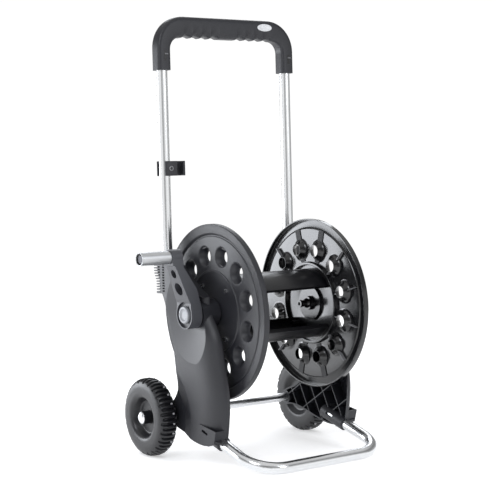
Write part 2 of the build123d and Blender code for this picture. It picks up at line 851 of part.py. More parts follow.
# ======== crank ========
crank_top_z = reel_z + crank_length
with BuildPart() as crank_arm:
    # The arm's side view, cut to its lean in front view, with the hub's drum round the shaft.
    with BuildSketch(across(-crank_top_out)):
        with BuildLine():
            Polyline(
                (-crank_hub_r + 1.5, reel_z + 8.0),
                (-crank_top_r + 1.0, crank_top_z + 4.0),
                (crank_top_r - 1.0, crank_top_z + 4.0),
                (crank_hub_r - 1.5, reel_z + 8.0),
                close=True,
            )
        make_face()
        with Locations((0, crank_top_z)):
            Circle(crank_top_r)
        with Locations((0, reel_z)):
            Circle(crank_hub_r)
    extrude(amount=crank_top_out - crank_in)
    with BuildSketch(facing(-crank_hub_r - 2)):
        with BuildLine():
            Polyline(
                (-crank_in, reel_z - 40.0),
                (-crank_in, reel_z + 14.0),
                (-crank_in - 7.0, reel_z + 50.0),
                (-crank_top_in, crank_top_z - crank_top_r - 4.0),
                (-crank_top_in, crank_top_z + 30.0),
                (-crank_top_out, crank_top_z + 30.0),
                (-crank_top_out, crank_top_z - crank_top_r + 1.0),
                (-crank_top_out + 5.0, crank_top_z - crank_top_r - 2.0),
                (-crank_hub_out - 3.0, reel_z + crank_hub_r + 2.0),
                (-crank_hub_out, reel_z + crank_hub_r - 4.0),
                (-crank_hub_out, reel_z - 40.0),
                close=True,
            )
        make_face()
    extrude(amount=-2 * crank_hub_r - 4, mode=Mode.INTERSECT)
    # Two lightening holes
    with BuildSketch(across(-crank_top_out)):
        with Locations((0, crank_top_z - 32.0)):
            Circle(crank_hole_r[0])
        with Locations((0, reel_z + 50.0)):
            Circle(crank_hole_r[1])
    extrude(amount=crank_top_out - crank_in, mode=Mode.SUBTRACT)
    # Round the knob the hub is sunk, and its bore has the shaft's flats
    with BuildSketch(across(-crank_hub_out - 4.0, 0, reel_z)):
        Circle(crank_hub_r - knob_rim)
    extrude(amount=knob_sink + 4.0, mode=Mode.SUBTRACT)
    with BuildSketch(across(-crank_in, 0, reel_z)):
        Circle(shaft_r + fit_gap)
        Rectangle(2 * shaft_r + 4, 2 * (flat_half + fit_gap), mode=Mode.INTERSECT)
    extrude(amount=-crank_hub_depth, mode=Mode.SUBTRACT)
    with BuildSketch(across(-crank_in, 0, crank_top_z)):
        Circle(grip_pin_r + fit_gap)
    extrude(amount=crank_in - crank_top_out, mode=Mode.SUBTRACT)

with BuildPart() as crank_knob:
    # Serrated retaining knob, its stem in the end of the shaft.
    with BuildSketch(across(-knob_seat - face_gap, 0, reel_z)):
        Circle(knob_r - 0.8)
        with PolarLocations(knob_r - 0.8, knob_teeth):
            Circle(0.9)
        Circle(knob_r, mode=Mode.INTERSECT)
    extrude(amount=-knob_thick)
    with BuildSketch(across(-knob_seat - face_gap - knob_thick, 0, reel_z)):
        Circle(knob_r - 7.0)
    extrude(amount=2.0, mode=Mode.SUBTRACT)
    add(ring(-knob_seat - face_gap, -crank_in - 2.0, knob_stem_r))

with BuildPart() as grip_pin:
    # Steel pin pressed through the arm, with a head that keeps the handle on.
    add(ring(-crank_end + 3.0, -crank_top_in, grip_pin_r, z=crank_top_z))
    add(ring(-crank_end + 2.5, -crank_end + 5.0, grip_pin_r + 2.4, z=crank_top_z))
    add(ring(-crank_top_in, -crank_top_in + 2.0, grip_pin_r + 2.0, z=crank_top_z))

with BuildPart() as crank_handle_core:
    add(ring(-crank_end + 5.0 + face_gap, -crank_top_out - face_gap,
             crank_grip_r - 1.5 - fit_gap, grip_pin_r + run_gap, z=crank_top_z))

with BuildPart() as crank_handle:
    add(ring(-crank_end, -crank_top_out - face_gap, crank_grip_r, crank_grip_r - 1.5,
             z=crank_top_z))

# ======== files ========
pieces = {
    "upright_left": upright_left,
    "upright_right": upright_right,
    "handle_grip": handle_grip,
    "grip_tab_left": grip_tab_left,
    "grip_tab_right": grip_tab_right,
    "grip_badge": grip_badge,
    "nozzle_clip": nozzle_clip,
    "panel_left": panel_left,
    "panel_right": panel_right,
    "foot_bar": foot_bar,
    "foot_screws": foot_screws,
    "axle_tube": axle_tube,
    "axle_cap_left": axle_cap_left,
    "axle_cap_right": axle_cap_right,
    "axle_spacer_left": axle_spacer_left,
    "axle_spacer_right": axle_spacer_right,
    "wheel_left": wheel_left,
    "wheel_right": wheel_right,
    "wheel_bush_left": wheel_bush_left,
    "wheel_bush_right": wheel_bush_right,
    "flange_left": flange_left,
    "flange_right": flange_right,
    "drum_shell_top": drum_shell_top,
    "drum_shell_bottom": drum_shell_bottom,
    "drum_screws_left": drum_screws_left,
    "drum_screws_right": drum_screws_right,
    "stub_shaft": stub_shaft,
    "water_shaft": water_shaft,
    "drum_connector": drum_connector,
    "inlet_fitting": inlet_fitting,
    "inlet_o_rings": inlet_o_rings,
    "inlet_screws": inlet_screws,
    "crank_arm": crank_arm,
    "crank_knob": crank_knob,
    "grip_pin": grip_pin,
    "crank_handle_core": crank_handle_core,
    "crank_handle": crank_handle,
}
os.makedirs("parts", exist_ok=True)
for label, piece in pieces.items():
    piece.part.label = label
    export_step(piece.part, f"parts/{label}.step")
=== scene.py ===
import math

import bmesh
import bpy
import numpy as np
from mathutils import Matrix, Vector


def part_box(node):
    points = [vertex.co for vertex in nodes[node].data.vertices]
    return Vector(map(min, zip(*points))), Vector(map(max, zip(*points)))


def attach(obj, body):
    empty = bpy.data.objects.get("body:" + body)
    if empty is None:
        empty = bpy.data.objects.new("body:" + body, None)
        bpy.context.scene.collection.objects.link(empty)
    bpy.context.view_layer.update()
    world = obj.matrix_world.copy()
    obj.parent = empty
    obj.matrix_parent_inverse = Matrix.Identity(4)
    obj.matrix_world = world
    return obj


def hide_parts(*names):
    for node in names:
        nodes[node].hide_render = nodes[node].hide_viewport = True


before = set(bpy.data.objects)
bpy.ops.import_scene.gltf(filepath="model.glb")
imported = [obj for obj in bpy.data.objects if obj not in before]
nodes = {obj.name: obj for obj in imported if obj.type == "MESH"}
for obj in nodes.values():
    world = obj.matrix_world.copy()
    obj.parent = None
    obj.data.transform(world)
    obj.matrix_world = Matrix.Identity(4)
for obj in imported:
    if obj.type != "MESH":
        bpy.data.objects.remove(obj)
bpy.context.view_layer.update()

# ---- studio ----
# A pale floor, a surround with white and grey cards at eye level, a darker ring above them and a
# bright ceiling, and four soft lamps: a key, a front lamp, a card low behind the crank side that
# the glossy flange mirrors, and a rim lamp.
reel = (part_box("flange_left")[0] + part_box("flange_right")[1]) / 2
scene = bpy.context.scene
scene.view_settings.view_transform = "Standard"
floor_r, floor_sides = 2.6, 96
floor_turn = np.linspace(0, 2 * np.pi, floor_sides, endpoint=False)
floor_rim = floor_r * np.stack([np.cos(floor_turn), np.sin(floor_turn), 0 * floor_turn], axis=1)
floor_mesh = bpy.data.meshes.new("studio_floor")
floor_mesh.from_pydata(floor_rim.tolist(), [], [list(range(floor_sides))])
floor = bpy.data.objects.new("studio_floor", floor_mesh)
scene.collection.objects.link(floor)
floor_paint = bpy.data.materials.new("studio_floor_paint")
floor_paint.use_nodes = True
floor_shader = floor_paint.node_tree.nodes["Principled BSDF"]
floor_shader.inputs["Base Color"].default_value = (0.95, 0.95, 0.955, 1)
floor_shader.inputs["Roughness"].default_value = 0.9
floor_shader.inputs["Emission Color"].default_value = (1, 1, 1, 1)
floor_shader.inputs["Emission Strength"].default_value = 0.42
floor.data.materials.append(floor_paint)


class Dye:
    """A shader socket. Sums and products of sockets add Math nodes."""

    def __init__(self, tree, socket=None):
        self.tree = tree
        self.socket = socket

    def node(self, kind, sockets=None, out=0, stops=None, **settings):
        """Adds a node: settings first, then the values or links of its sockets."""
        made = self.tree.nodes.new(kind)
        for name, value in settings.items():
            setattr(made, name, value)
        if stops:
            ramp = made.color_ramp
            while len(ramp.elements) < len(stops):
                ramp.elements.new(0.5)
            for element, (place, tone) in zip(ramp.elements, stops):
                element.position = place
                element.color = (tone, tone, tone, 1)
        for name, value in (sockets or {}).items():
            if isinstance(value, Dye):
                self.tree.links.new(value.socket, made.inputs[name])
            else:
                made.inputs[name].default_value = value
        return Dye(self.tree, made.outputs[out])

    def maths(self, operation, first, second=0.0):
        """Adds one Math node."""
        return self.node("ShaderNodeMath", {0: first, 1: second}, operation=operation)

    def __add__(self, other):
        return self.maths("ADD", self, other)

    __radd__ = __add__

    def __mul__(self, other):
        return self.maths("MULTIPLY", self, other)

    __rmul__ = __mul__

    def __sub__(self, other):
        return self.maths("SUBTRACT", self, other)

    def __rsub__(self, other):
        return self.maths("SUBTRACT", other, self)


camera_turn = math.radians(-35.528)
surround = bpy.data.worlds.new("studio_surround")
surround.use_nodes = True
sky = Dye(surround.node_tree)
way = sky.node("ShaderNodeTexCoord", out=0)
east, north, rise = (sky.node("ShaderNodeSeparateXYZ", {0: way}, out=axis) for axis in range(3))
bearing = sky.maths("ARCTAN2", north, east)
around = sky.maths("FRACT", (bearing - (math.pi / 2 + camera_turn)) * (1 / (2 * math.pi)) + 0.5)
# Cards at eye level by their bearing: 0.5 is straight ahead of the camera, more is to its left.
band = sky.node("ShaderNodeValToRGB", {0: around}, stops=[
    (0.0, 0.4), (0.03, 0.4), (0.07, 1.0), (0.22, 1.0), (0.26, 0.45), (0.43, 0.45), (0.455, 1.0),
    (0.545, 1.0), (0.57, 0.35), (0.71, 0.35), (0.75, 1.0), (0.93, 1.0), (0.97, 0.4), (1.0, 0.4)])
overhead = sky.node("ShaderNodeValToRGB", {0: rise}, stops=[(0.5, 0.25), (0.8, 0.8)])
share = sky.node("ShaderNodeValToRGB", {0: rise}, stops=[(0.17, 1.0), (0.32, 0.0)])
fade = sky.node("ShaderNodeMix", {0: share, 6: overhead, 7: band}, out=2, data_type="RGBA")
backdrop = surround.node_tree.nodes["Background"]
surround.node_tree.links.new(fade.socket, backdrop.inputs["Color"])
backdrop.inputs["Strength"].default_value = 1.04
scene.world = surround


def soft_lamp(name, place, width, height, power, aim):
    """A rectangular lamp, its power in watts, that stands at place and faces the point aim."""
    lamp = bpy.data.lights.new(name, "AREA")
    lamp.shape = "RECTANGLE"
    lamp.size, lamp.size_y = width, height
    lamp.energy = power
    lamp.color = (0.92, 0.95, 1.0)
    holder = bpy.data.objects.new(name, lamp)
    holder.location = place
    turn = Vector(aim) - Vector(place)
    holder.rotation_euler = turn.to_track_quat("-Z", "Y").to_euler()
    scene.collection.objects.link(holder)


soft_lamp("lamp_key", (-2.4, -1.2, 2.2), 1.2, 1.2, 30, reel)
soft_lamp("lamp_front", (0.9, -2.6, 1.6), 0.8, 1.6, 14, reel)
soft_lamp("lamp_card", (-0.98, 1.42, 0.46), 1.1, 0.74, 17, (0.0, 0.0, 0.3))
soft_lamp("lamp_rim", (1.6, 2.2, 2.2), 1.8, 1.0, 20, reel)

# Camera: a long lens, a little above the reel and turned to the crank side.
camera_place = reel + Vector((-1.5569, -2.1360, 0.2711))
camera_dip = math.radians(3.302)
camera_roll = math.radians(-1.473)
ahead = Vector((
    -math.sin(camera_turn) * math.cos(camera_dip),
    math.cos(camera_turn) * math.cos(camera_dip),
    -math.sin(camera_dip),
))
level_right = ahead.cross(Vector((0, 0, 1))).normalized()
level_up = level_right.cross(ahead)
right = level_right * math.cos(camera_roll) + level_up * math.sin(camera_roll)
up = level_up * math.cos(camera_roll) - level_right * math.sin(camera_roll)
camera_data = bpy.data.cameras.new("studio_camera")
camera_data.sensor_width = 36.0
camera_data.lens = 96.84
camera = bpy.data.objects.new("studio_camera", camera_data)
camera.matrix_world = Matrix((
    (right.x, up.x, -ahead.x, camera_place.x),
    (right.y, up.y, -ahead.y, camera_place.y),
    (right.z, up.z, -ahead.z, camera_place.z),
    (0, 0, 0, 1),
))
scene.collection.objects.link(camera)
scene.camera = camera

# ---- uprights ----
# Two lengths of 22 mm aluminium tube, drawn and bright dipped. Each is pushed into the ribbed
# socket of a side panel and into a leg of the grip. The marks of the die run along them.


def drawn_metal(name, dark, light, roughness, streaks, relief=0.05):
    """Drawn or plated metal: streaks, long where their scale is small, in its tone, gloss and
    bump, with wide soft stains over them."""
    material = bpy.data.materials.new(name)
    material.use_nodes = True
    tree = material.node_tree
    shader = tree.nodes["Principled BSDF"]
    pen = Dye(tree)
    place = pen.node("ShaderNodeTexCoord", out=3)
    long_way = pen.node("ShaderNodeMapping", {"Vector": place, "Scale": streaks})
    lines = pen.node("ShaderNodeTexNoise", {"Vector": long_way, "Scale": 60.0, "Detail": 3.0})
    stains = pen.node("ShaderNodeTexNoise", {"Vector": place, "Scale": 14.0, "Detail": 2.0})
    tone = 0.7 * lines + 0.3 * stains
    colour = pen.node("ShaderNodeMix", {0: tone, 6: (*dark, 1), 7: (*light, 1)}, out=2,
                      data_type="RGBA")
    tree.links.new(colour.socket, shader.inputs["Base Color"])
    gloss = (roughness - 0.05) + 0.06 * lines + 0.06 * stains
    tree.links.new(gloss.socket, shader.inputs["Roughness"])
    bump = pen.node("ShaderNodeBump", {"Height": lines, "Strength": relief, "Distance": 0.0002})
    tree.links.new(bump.socket, shader.inputs["Normal"])
    shader.inputs["Metallic"].default_value = 1.0
    return material


def piece(name, body, material, slot, *sheets, crease=38):
    """One object from sheets of points, rows by columns of places: each cell becomes a face and
    the last column joins the first. Doubled points at seams and poles are merged, and edges
    sharper than crease, in degrees, stay sharp."""
    corners, faces, start = [], [], 0
    for points in sheets:
        rows, columns = points.shape[:2]
        index = start + np.arange(rows * columns).reshape(rows, columns)
        index = np.concatenate([index, index[:, :1]], axis=1)
        quads = np.stack([index[:-1, :-1], index[:-1, 1:], index[1:, 1:], index[1:, :-1]], axis=-1)
        corners.append(points.reshape(-1, 3))
        faces.append(quads.reshape(-1, 4))
        start += rows * columns
    mesh = bpy.data.meshes.new(name)
    mesh.from_pydata(np.concatenate(corners).tolist(), [], np.concatenate(faces).tolist())
    work = bmesh.new()
    work.from_mesh(mesh)
    bmesh.ops.remove_doubles(work, verts=work.verts, dist=2e-6)
    bmesh.ops.recalc_face_normals(work, faces=work.faces)
    work.to_mesh(mesh)
    work.free()
    mesh.shade_smooth()
    mesh.set_sharp_from_angle(angle=math.radians(crease))
    mesh.materials.append(material)
    made = bpy.data.objects.new(name, mesh)
    scene.collection.objects.link(made)
    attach(made, body)
    return made


def tube(path, normal, outer, inner, sides=72):
    """A tube along a flat path whose plane has that normal: each point is the path's place plus
    radius times (cosine times the normal, plus sine times the path's own side). The wall is
    closed at both ends by a rounded lip."""
    run = np.gradient(path, axis=0)
    run /= np.linalg.norm(run, axis=1, keepdims=True)
    beside = np.cross(normal, run)
    angle = np.linspace(0, 2 * np.pi, sides, endpoint=False)[None, :, None]
    spoke = np.cos(angle) * np.asarray(normal) + np.sin(angle) * beside[:, None]
    outside = path[:, None] + outer * spoke
    inside = path[:, None] + inner * spoke
    lip = 0.25 * (outer - inner)
    first = path[:1, None] + (outer - lip) * spoke[:1] - lip * run[:1, None]
    last = path[-1:, None] + (outer - lip) * spoke[-1:] + lip * run[-1:, None]
    return np.concatenate([inside[:1], first, outside, last, inside[::-1]])


tube_wall = 0.0015
upright_metal = drawn_metal("drawn_aluminium_upright", (0.68, 0.69, 0.70), (0.85, 0.86, 0.87),
                            0.2, (6.0, 6.0, 0.06))
end_lip = 0.0005
for node in ("upright_left", "upright_right"):
    low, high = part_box(node)
    height = np.linspace(low.z + end_lip, high.z - end_lip, 40)
    path = np.stack([0 * height + (low.x + high.x) / 2, 0 * height + (low.y + high.y) / 2,
                     height], axis=1)
    half_width = (high.x - low.x) / 2
    made = piece("tube_" + node, "frame", upright_metal, "aluminium",
                 tube(path, (0, 1, 0), half_width, half_width - tube_wall))
    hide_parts(node)

# ---- handle grip ----
# One hollow moulding of charcoal polypropylene that joins the uprights across the top. Finger
# waves are moulded under the bar, four for each hand, and run out over its front as shallow
# flutes. Its skin has a fine spark texture from the tool.


def moulded(name, dark, light, roughness, grain, relief, coat=0.0):
    """Moulded plastic: two close tones in slow clouds, a fine grain in the gloss and the bump."""
    material = bpy.data.materials.new(name)
    material.use_nodes = True
    tree = material.node_tree
    shader = tree.nodes["Principled BSDF"]
    pen = Dye(tree)
    place = pen.node("ShaderNodeTexCoord", out=3)
    clouds = pen.node("ShaderNodeTexNoise", {"Vector": place, "Scale": 9.0, "Detail": 3.0})
    fine = pen.node("ShaderNodeTexNoise", {"Vector": place, "Scale": grain, "Detail": 2.0})
    colour = pen.node("ShaderNodeMix", {0: clouds, 6: (*dark, 1), 7: (*light, 1)}, out=2,
                      data_type="RGBA")
    tree.links.new(colour.socket, shader.inputs["Base Color"])
    gloss = (roughness - 0.06) + 0.07 * clouds + 0.05 * fine
    tree.links.new(gloss.socket, shader.inputs["Roughness"])
    bump = pen.node("ShaderNodeBump", {"Height": fine, "Strength": relief, "Distance": 0.0004})
    tree.links.new(bump.socket, shader.inputs["Normal"])
    shader.inputs["Coat Weight"].default_value = coat
    shader.inputs["Coat Roughness"].default_value = 0.1
    return material


charcoal = moulded("charcoal_moulding", (0.012, 0.0125, 0.0160), (0.018, 0.0185, 0.0240),
                   0.44, 900, 0.25)
grip_low, grip_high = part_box("handle_grip")
grip_mid = (grip_low + grip_high) / 2
grip_half = (grip_high.x - grip_low.x) / 2
tube_low, tube_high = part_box("upright_right")
tube_x = (tube_low.x + tube_high.x) / 2 - grip_mid.x
leg_inner = 2 * tube_x - grip_half
bar_tall = 0.042
outer_r, inner_r = 0.062, 0.024
bar_under = grip_high.z - bar_tall
wave_pitch, wave_depth, waves_per_hand = 0.022, 0.003, 4
hand_places = (-0.064, 0.066)
flute_deepest = 0.0020
roundness = 4.2
turn = np.linspace(0, np.pi / 2, 17)
leg_z = np.linspace(grip_low.z, bar_under - inner_r, 12)
bar_x = np.linspace(1, -1, 241) * (grip_half - outer_r)
inner_x = np.linspace(1, -1, 241) * (leg_inner - inner_r)


def waves(x):
    """Height of the finger waves under the bar: each is an arch of a parabola, one wave pitch
    wide, and they stand four together about the middle of each hand's place."""
    arch = np.zeros_like(x)
    for hand in hand_places:
        along = (x - hand) / wave_pitch + waves_per_hand / 2
        inside = (along > 0) & (along < waves_per_hand)
        arch = np.where(inside, 1 - (2 * (along % 1) - 1) ** 2, arch)
    return arch


def quarter(centre_x, centre_z, radius, side):
    """A quarter of a circle at an upper corner: centre plus radius times (cosine, sine), from
    the leg to the bar on the right side and back again on the left."""
    angle = turn if side > 0 else turn[::-1]
    return np.stack([side * (centre_x + radius * np.cos(angle)),
                     centre_z + radius * np.sin(angle)], axis=1)


def side_line(x, side):
    """A straight line up the leg at x, or down it on the left side."""
    line = np.stack([np.full_like(leg_z, side * x), leg_z], axis=1)
    return line if side > 0 else line[::-1]


arch = waves(inner_x)
outside = np.concatenate([
    side_line(grip_half, 1), quarter(grip_half - outer_r, grip_high.z - outer_r, outer_r, 1),
    np.stack([bar_x, np.full_like(bar_x, grip_high.z)], axis=1),
    quarter(grip_half - outer_r, grip_high.z - outer_r, outer_r, -1), side_line(grip_half, -1)])
inside = np.concatenate([
    side_line(leg_inner, 1), quarter(leg_inner - inner_r, bar_under - inner_r, inner_r, 1),
    np.stack([inner_x, bar_under + wave_depth * arch], axis=1),
    quarter(leg_inner - inner_r, bar_under - inner_r, inner_r, -1), side_line(leg_inner, -1)])
before_bar = len(leg_z) + len(turn)
flute = np.concatenate([np.zeros(before_bar), arch, np.zeros(before_bar)])[:, None]
# The section is a superellipse between the inner and the outer line: the width and the depth,
# each raised to the roundness, add up to one.
around = np.linspace(0, 2 * np.pi, 48, endpoint=False)[None, :]
power = 2 / roundness
across = np.sign(np.cos(around)) * np.abs(np.cos(around)) ** power
deep = np.sign(np.sin(around)) * np.abs(np.sin(around)) ** power
middle = (outside + inside) / 2
reach = (outside - inside) / 2
grip_deep = (grip_high.y - grip_low.y) / 2
flute_depth = flute_deepest * flute * np.clip(-across, 0, 1) * (deep < 0)
grip = np.stack([
    grip_mid.x + middle[:, :1] + reach[:, :1] * across,
    grip_mid.y + grip_deep * deep + flute_depth,
    middle[:, 1:] + reach[:, 1:] * across,
], axis=-1)
capped = [grip[:1].mean(axis=1, keepdims=True) + 0 * grip[:1], grip,
          grip[-1:].mean(axis=1, keepdims=True) + 0 * grip[:1]]
grip_piece = piece("grip_moulding", "frame", charcoal, "charcoal_plastic", np.concatenate(capped))
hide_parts("handle_grip")
# Snap tabs: a window in each leg's front, near black as painted shade of its slot, with a hooked
# tongue in it, pale grey as a painted glint.
tab_painted_slot_shade = moulded("tab_window_painted_shade", (0.004, 0.004, 0.005), (0.006, 0.006, 0.007),
                    0.3, 900, 0.1)
tab_painted_glint = moulded("tab_tongue_painted_glint", (0.10, 0.10, 0.11), (0.15, 0.15, 0.16), 0.35, 900, 0.1)
tab_side, tab_proud, tab_ease = 0.003, 0.0003, 0.0002
tongue_from, tongue_past = (0.0042, 0.0011, 0.0075), (0.0005, 0.001, 0.005)
tongue_ease = 0.0003


def block(low, high, ease):
    """A box between two corners: five rows of four corners, from the middle of the front over
    its edges, cut back by ease, along the sides to the middle of the back."""
    front = np.array([(low[0], low[2]), (high[0], low[2]), (high[0], high[2]), (low[0], high[2])])
    centre = front.mean(axis=0)
    drawn = front - ease * np.sign(front - centre)
    rows = [0 * front + centre, drawn, front, front, 0 * front + centre]
    depths = (low[1], low[1], low[1] + ease, high[1], high[1])
    return np.stack([np.stack([row[:, 0], 0 * row[:, 0] + y, row[:, 1]], axis=1)
                     for row, y in zip(rows, depths)])


for node in ("grip_tab_left", "grip_tab_right"):
    low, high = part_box(node)
    window = piece("window_" + node, "frame", tab_painted_slot_shade, "charcoal_plastic",
                   block((low.x + tab_side, low.y - tab_proud, low.z),
                         (high.x - tab_side, high.y, high.z), tab_ease))
    piece("tongue_" + node, "frame", tab_painted_glint, "charcoal_plastic",
          block((low.x + tongue_from[0], low.y - tongue_from[1], high.z - tongue_from[2]),
                (high.x + tongue_past[0], low.y + tongue_past[1], high.z - tongue_past[2]),
                tongue_ease))
    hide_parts(node)

# ---- badge ----
# An oval of pale plastic let into the front of the bar, with a raised rim round a plain field.
light_grey = moulded("light_grey_moulding", (0.62, 0.63, 0.65), (0.74, 0.75, 0.77), 0.4, 900, 0.15)
badge_low, badge_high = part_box("grip_badge")
badge_shift = Vector((-0.004, 0.0, 0.003))
badge_grow = 1.12
badge_mid = (badge_low + badge_high) / 2 + badge_shift
badge_half = badge_grow * (badge_high - badge_low) / 2
# Rows of the badge from its middle over the rim to its back: share of its width, place in depth.
badge_rows = np.array([(0.0, 0.25), (0.70, 0.25), (0.76, -0.4), (0.80, -1.0), (0.9, -1.0),
                       (1.0, -0.5), (1.0, 1.0), (0.0, 1.0)])
oval = np.linspace(0, 2 * np.pi, 64, endpoint=False)[None, :]
badge = np.stack([
    badge_mid.x + badge_half.x * badge_rows[:, :1] * np.cos(oval),
    badge_mid.y + badge_half.y * badge_rows[:, 1:] + 0 * oval,
    badge_mid.z + badge_half.z * badge_rows[:, :1] * np.sin(oval),
], axis=-1)
badge_piece = piece("badge_oval", "frame", light_grey, "light_plastic", badge)
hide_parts("grip_badge")

# ---- nozzle clip ----
# A springy nylon clip, open to the side, that grips the left upright and slides on it. A block
# with a screw boss joins its band to an open cup for the neck of a spray nozzle.
clip_low, clip_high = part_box("nozzle_clip")
band_in, band_out, cup_in, cup_out, clip_edge = 0.01108, 0.015, 0.0105, 0.0145, 0.0006
clip_x = clip_low.x + band_out
clip_y = (clip_low.y + clip_high.y) / 2
cup_x = clip_high.x - cup_out


def arc(centre, radius, start, end, steps):
    """Points on a circle in plan between two angles in degrees."""
    angle = np.radians(np.linspace(start, end, steps))
    return np.stack([centre + radius * np.cos(angle), clip_y + radius * np.sin(angle)], axis=1)


def ribbon(outside, inside):
    """A wall between two lines in plan, as tall as the clip, with small bevels: each row is an
    eight-cornered section, and both ends are closed on their middles."""
    eased_out = outside + clip_edge * (inside - outside) / np.linalg.norm(
        inside - outside, axis=1, keepdims=True)
    eased_in = inside + (outside - eased_out)
    low, high = clip_low.z, clip_high.z
    section = [(outside, low + clip_edge), (outside, high - clip_edge), (eased_out, high),
               (eased_in, high), (inside, high - clip_edge), (inside, low + clip_edge),
               (eased_in, low), (eased_out, low)]
    rows = np.stack([np.concatenate([line, np.full((len(line), 1), z)], axis=1)
                     for line, z in section], axis=1)
    first = rows[:1].mean(axis=1, keepdims=True) + 0 * rows[:1]
    last = rows[-1:].mean(axis=1, keepdims=True) + 0 * rows[-1:]
    return np.concatenate([first, rows, last])


band_wall = ribbon(
    np.concatenate([arc(clip_x, band_out, 152, 42, 24), arc(cup_x, cup_out, 128, -42, 36)]),
    np.concatenate([arc(clip_x, band_in, 152, 32, 24), arc(cup_x, cup_in, 142, -46, 36)]))
# Front of the block in plan, from the band to the cup's mouth.
block_front = np.array([(-0.0062, -0.0128), (-0.001, -0.0146), (0.006, -0.0149),
                        (0.013, -0.0149), (0.0195, -0.0147), (0.0212, -0.0132),
                        (0.0222, -0.009), (0.0212, -0.004), (0.0206, 0.0),
                        (0.0212, 0.004), (0.0225, 0.008)]) + (clip_x, clip_y)
block_wall = ribbon(block_front, arc(clip_x, band_in, 238, 398, 11))
clip_piece = piece("clip_moulding", "clip", charcoal, "charcoal_plastic", band_wall, block_wall)
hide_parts("nozzle_clip")
# Screw boss on the block's front: depth and radius from its foot over its lip into its hollow.
boss_along, boss_front = 0.0062, 0.0149
boss_rows = np.array([(0.002, 0.0046), (-0.0009, 0.0046), (-0.0012, 0.0043), (-0.0012, 0.0031),
                      (0.0005, 0.0029), (0.0005, 0.0)])
boss_turn = np.linspace(0, 2 * np.pi, 32, endpoint=False)[None, :]
boss = np.stack([
    clip_x + boss_along + boss_rows[:, 1:] * np.cos(boss_turn),
    clip_y - boss_front + boss_rows[:, :1] + 0 * boss_turn,
    (clip_low.z + clip_high.z) / 2 + boss_rows[:, 1:] * np.sin(boss_turn),
], axis=-1)
# The whole boss is pale grey as a painted highlight on its rim.
boss_painted_highlight = moulded("clip_boss_painted_highlight", (0.20, 0.20, 0.21), (0.28, 0.28, 0.29), 0.35, 900, 0.15)
piece("clip_boss", "clip", boss_painted_highlight, "charcoal_plastic", boss)

# ---- side panels ----
# Two deep charcoal mouldings, ribbed inside, that carry the uprights, the reel, the axle and the
# foot bar. Their skin is spark-textured outside and glossier on the ribs.


def finish_node(material, slot, *names):
    """Gives the named CAD nodes one finish. The slot argument is not used."""
    for name in names:
        nodes[name].data.materials.clear()
        nodes[name].data.materials.append(material)


finish_node(charcoal, "charcoal_plastic", "panel_left", "panel_right")

# ---- foot bar ----
# The same tube bent to a U and tilted, so that its front rests on the ground. Its legs end in the
# panels' sleeves, where a screw from below holds each.
# Its aluminium is a darker copy of the uprights', as painted shade for its underside that faces
# the floor.
bar_metal_painted_shade = drawn_metal("drawn_aluminium_bar_painted_shade", (0.64, 0.65, 0.66), (0.80, 0.81, 0.82),
                        0.2, (0.4, 2.0, 6.0))
bar_low, bar_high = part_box("foot_bar")
bar_r, bar_bend, bar_slope, bar_lip = 0.011, 0.060, math.radians(16.6), 0.0004
bar_x = (bar_low.x + bar_high.x) / 2
leg_half = (bar_high.x - bar_low.x) / 2 - bar_r
leg_long = (bar_high.y - bar_low.y - bar_r - bar_r * math.sin(bar_slope)) / math.cos(bar_slope)
swing = np.linspace(0, np.pi / 2, 25)
leg_run = np.linspace(leg_long - bar_lip, bar_bend, 24)
straight = np.linspace(-1, 1, 24)[1:-1] * (leg_half - bar_bend)
corner = np.stack([leg_half - bar_bend + bar_bend * np.cos(swing),
                   bar_bend - bar_bend * np.sin(swing)], axis=1)
right_side = np.concatenate([np.stack([leg_half + 0 * leg_run, leg_run], axis=1), corner[1:]])
left_side = right_side[::-1] * (-1, 1)
flat = np.concatenate([right_side, np.stack([-straight, 0 * straight], axis=1), left_side])
bar_path = np.stack([
    bar_x + flat[:, 0],
    bar_low.y + bar_r + flat[:, 1] * math.cos(bar_slope),
    bar_low.z + bar_r + flat[:, 1] * math.sin(bar_slope),
], axis=1)
bar_piece = piece("tube_foot_bar", "frame", bar_metal_painted_shade, "aluminium",
                  tube(bar_path, (0, -math.sin(bar_slope), math.cos(bar_slope)),
                       bar_r, bar_r - tube_wall))
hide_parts("foot_bar")

# ---- axle ----
# A steel tube across the back, zinc plated, with push-on caps that keep the wheels on it and a
# black spacer inside each wheel.
zinc = drawn_metal("zinc_steel", (0.74, 0.75, 0.77), (0.88, 0.89, 0.91), 0.26, (0.1, 6.0, 6.0))
axle_low, axle_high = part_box("axle_tube")
axle_r = (axle_high.z - axle_low.z) / 2
axle_run = np.linspace(axle_low.x + bar_lip, axle_high.x - bar_lip, 40)
axle_path = np.stack([axle_run, 0 * axle_run + (axle_low.y + axle_high.y) / 2,
                      0 * axle_run + (axle_low.z + axle_high.z) / 2], axis=1)
axle_piece = piece("tube_axle", "frame", zinc, "steel",
                   tube(axle_path, (0, 1, 0), axle_r, axle_r - tube_wall))
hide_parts("axle_tube")
finish_node(zinc, "steel", "axle_cap_left", "axle_cap_right", "foot_screws")

# ---- wheels ----
# Black polypropylene wheels, each one moulding: a smooth rounded sidewall, a deep dish with a flat
# floor, and narrow grooves that wrap over both shoulders and the tread, every second one shorter.


